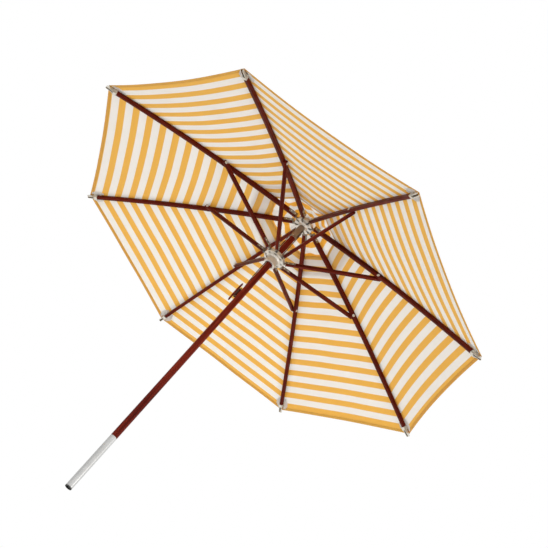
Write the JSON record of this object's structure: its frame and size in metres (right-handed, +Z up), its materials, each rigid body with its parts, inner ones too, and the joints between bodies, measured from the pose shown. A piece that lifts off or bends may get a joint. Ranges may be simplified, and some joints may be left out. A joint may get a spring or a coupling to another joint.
{
  "type": "parasol",
  "caption": "Round wooden parasol with an octagonal striped canopy, vented top cap, folding ribs and struts, and a hoist rope and pulley.",
  "frame": {"origin": "centre of the flat underside of the pole's foot plug", "axes": "+Z up the pole; +X along rib_1; the hoist rope and the cleat stand in the upright plane of rib_4 and rib_8, with the cleat under rib_4, between -X and +Y"},
  "size_m": [2.7018, 2.7018, 2.2377],
  "materials": {
    "stained_wood": "satin",
    "tube_metal": "satin",
    "foot_plastic": "matte",
    "sleeve_metal": "satin",
    "fitting_steel": "satin",
    "cast_metal": "satin",
    "striped_canvas": "matte",
    "braided_rope": "matte"
  },
  "bodies": {
    "pole": {"foot_plug": "foot_plastic", "foot_tube": "tube_metal", "pole_wood": "stained_wood", "head_sleeve": "sleeve_metal", "top_hub": "cast_metal", "finial": "stained_wood", "vent_cap": "striped_canvas", "rope_cleat": "stained_wood", "hoist_rope_fall": "braided_rope"},
    "sheave": {"sheave": "fitting_steel"},
    "rope_end": {"hoist_rope_lift": "braided_rope"},
    "runner": {"runner_hub": "cast_metal"},
    "rib_1": {"rib_1": "stained_wood", "rib_bracket_1": "fitting_steel", "rib_tip_1": "fitting_steel", "canopy_section_1": "striped_canvas"},
    "strut_1": {"strut_1": "stained_wood", "strut_bracket_1": "fitting_steel"},
    "rib_2": {"rib_2": "stained_wood", "rib_bracket_2": "fitting_steel", "rib_tip_2": "fitting_steel", "canopy_section_2": "striped_canvas"},
    "strut_2": {"strut_2": "stained_wood", "strut_bracket_2": "fitting_steel"},
    "rib_3": {"rib_3": "stained_wood", "rib_bracket_3": "fitting_steel", "rib_tip_3": "fitting_steel", "canopy_section_3": "striped_canvas"},
    "strut_3": {"strut_3": "stained_wood", "strut_bracket_3": "fitting_steel"},
    "rib_4": {"rib_4": "stained_wood", "rib_bracket_4": "fitting_steel", "rib_tip_4": "fitting_steel", "canopy_section_4": "striped_canvas"},
    "strut_4": {"strut_4": "stained_wood", "strut_bracket_4": "fitting_steel"},
    "rib_5": {"rib_5": "stained_wood", "rib_bracket_5": "fitting_steel", "rib_tip_5": "fitting_steel", "canopy_section_5": "striped_canvas"},
    "strut_5": {"strut_5": "stained_wood", "strut_bracket_5": "fitting_steel"},
    "rib_6": {"rib_6": "stained_wood", "rib_bracket_6": "fitting_steel", "rib_tip_6": "fitting_steel", "canopy_section_6": "striped_canvas"},
    "strut_6": {"strut_6": "stained_wood", "strut_bracket_6": "fitting_steel"},
    "rib_7": {"rib_7": "stained_wood", "rib_bracket_7": "fitting_steel", "rib_tip_7": "fitting_steel", "canopy_section_7": "striped_canvas"},
    "strut_7": {"strut_7": "stained_wood", "strut_bracket_7": "fitting_steel"},
    "rib_8": {"rib_8": "stained_wood", "rib_bracket_8": "fitting_steel", "rib_tip_8": "fitting_steel", "canopy_section_8": "striped_canvas"},
    "strut_8": {"strut_8": "stained_wood", "strut_bracket_8": "fitting_steel"}
  },
  "joints": [
    {"name": "canopy_fold", "type": "hinge", "parent": "pole", "child": "rib_1", "pos_m": [0.05, 0, 2.126], "axis": [0, 1, 0], "range_deg": [0, 70], "deforming": ["canopy_section_1", "vent_cap"]},
    {"name": "rib_2_fold", "type": "hinge", "parent": "pole", "child": "rib_2", "pos_m": [0.03535, 0.03535, 2.126], "axis": [-0.7071, 0.7071, 0], "range_deg": [0, 70], "deforming": ["canopy_section_2"]},
    {"name": "rib_3_fold", "type": "hinge", "parent": "pole", "child": "rib_3", "pos_m": [0, 0.05, 2.126], "axis": [-1, 0, 0], "range_deg": [0, 70], "deforming": ["canopy_section_3"]},
    {"name": "rib_4_fold", "type": "hinge", "parent": "pole", "child": "rib_4", "pos_m": [-0.03535, 0.03535, 2.126], "axis": [-0.7071, -0.7071, 0], "range_deg": [0, 70], "deforming": ["canopy_section_4"]},
    {"name": "rib_5_fold", "type": "hinge", "parent": "pole", "child": "rib_5", "pos_m": [-0.05, 0, 2.126], "axis": [0, -1, 0], "range_deg": [0, 70], "deforming": ["canopy_section_5"]},
    {"name": "rib_6_fold", "type": "hinge", "parent": "pole", "child": "rib_6", "pos_m": [-0.03535, -0.03535, 2.126], "axis": [0.7071, -0.7071, 0], "range_deg": [0, 70], "deforming": ["canopy_section_6"]},
    {"name": "rib_7_fold", "type": "hinge", "parent": "pole", "child": "rib_7", "pos_m": [0, -0.05, 2.126], "axis": [1, 0, 0], "range_deg": [0, 70], "deforming": ["canopy_section_7"]},
    {"name": "rib_8_fold", "type": "hinge", "parent": "pole", "child": "rib_8", "pos_m": [0.03535, -0.03535, 2.126], "axis": [0.7071, 0.7071, 0], "range_deg": [0, 70], "deforming": ["canopy_section_8"]},
    {"name": "strut_1_swing", "type": "hinge", "parent": "rib_1", "child": "strut_1", "pos_m": [0.597, 0.0205, 1.9655], "axis": [0, 1, 0], "range_deg": [-140, 0]},
    {"name": "strut_2_swing", "type": "hinge", "parent": "rib_2", "child": "strut_2", "pos_m": [0.40765, 0.43664, 1.9655], "axis": [-0.7071, 0.7071, 0], "range_deg": [-140, 0]},
    {"name": "strut_3_swing", "type": "hinge", "parent": "rib_3", "child": "strut_3", "pos_m": [-0.0205, 0.597, 1.9655], "axis": [-1, 0, 0], "range_deg": [-140, 0]},
    {"name": "strut_4_swing", "type": "hinge", "parent": "rib_4", "child": "strut_4", "pos_m": [-0.43664, 0.40765, 1.9655], "axis": [-0.7071, -0.7071, 0], "range_deg": [-140, 0]},
    {"name": "strut_5_swing", "type": "hinge", "parent": "rib_5", "child": "strut_5", "pos_m": [-0.597, -0.0205, 1.9655], "axis": [0, -1, 0], "range_deg": [-140, 0]},
    {"name": "strut_6_swing", "type": "hinge", "parent": "rib_6", "child": "strut_6", "pos_m": [-0.40765, -0.43664, 1.9655], "axis": [0.7071, -0.7071, 0], "range_deg": [-140, 0]},
    {"name": "strut_7_swing", "type": "hinge", "parent": "rib_7", "child": "strut_7", "pos_m": [0.0205, -0.597, 1.9655], "axis": [1, 0, 0], "range_deg": [-140, 0]},
    {"name": "strut_8_swing", "type": "hinge", "parent": "rib_8", "child": "strut_8", "pos_m": [0.43664, -0.40765, 1.9655], "axis": [0.7071, 0.7071, 0], "range_deg": [-140, 0]},
    {"name": "runner_level", "type": "hinge", "parent": "strut_1", "child": "runner", "pos_m": [0.05, 0.0205, 1.805], "axis": [0, 1, 0], "range_deg": [0, 70]},
    {"name": "rope_haul", "type": "slide", "parent": "pole", "child": "rope_end", "axis": [0, 0, -1], "range_m": [0, 0.8168], "deforming": ["hoist_rope_lift"]},
    {"name": "sheave_spin", "type": "hinge", "parent": "pole", "child": "sheave", "pos_m": [0, 0, 2.047], "axis": [0.7071, 0.7071, 0], "range_deg": [0, 1735]}
  ],
  "couplings": [
    {"joint": "rib_2_fold", "follows": "canopy_fold", "ratio": 1},
    {"joint": "rib_3_fold", "follows": "canopy_fold", "ratio": 1},
    {"joint": "rib_4_fold", "follows": "canopy_fold", "ratio": 1},
    {"joint": "rib_5_fold", "follows": "canopy_fold", "ratio": 1},
    {"joint": "rib_6_fold", "follows": "canopy_fold", "ratio": 1},
    {"joint": "rib_7_fold", "follows": "canopy_fold", "ratio": 1},
    {"joint": "rib_8_fold", "follows": "canopy_fold", "ratio": 1},
    {"joint": "strut_1_swing", "follows": "canopy_fold", "ratio": -2},
    {"joint": "strut_2_swing", "follows": "canopy_fold", "ratio": -2},
    {"joint": "strut_3_swing", "follows": "canopy_fold", "ratio": -2},
    {"joint": "strut_4_swing", "follows": "canopy_fold", "ratio": -2},
    {"joint": "strut_5_swing", "follows": "canopy_fold", "ratio": -2},
    {"joint": "strut_6_swing", "follows": "canopy_fold", "ratio": -2},
    {"joint": "strut_7_swing", "follows": "canopy_fold", "ratio": -2},
    {"joint": "strut_8_swing", "follows": "canopy_fold", "ratio": -2},
    {"joint": "runner_level", "follows": "canopy_fold", "ratio": 1},
    {"joint": "rope_haul", "follows": "canopy_fold", "m_per_rad": 0.66857},
    {"joint": "sheave_spin", "follows": "canopy_fold", "ratio": 24.762}
  ]
}
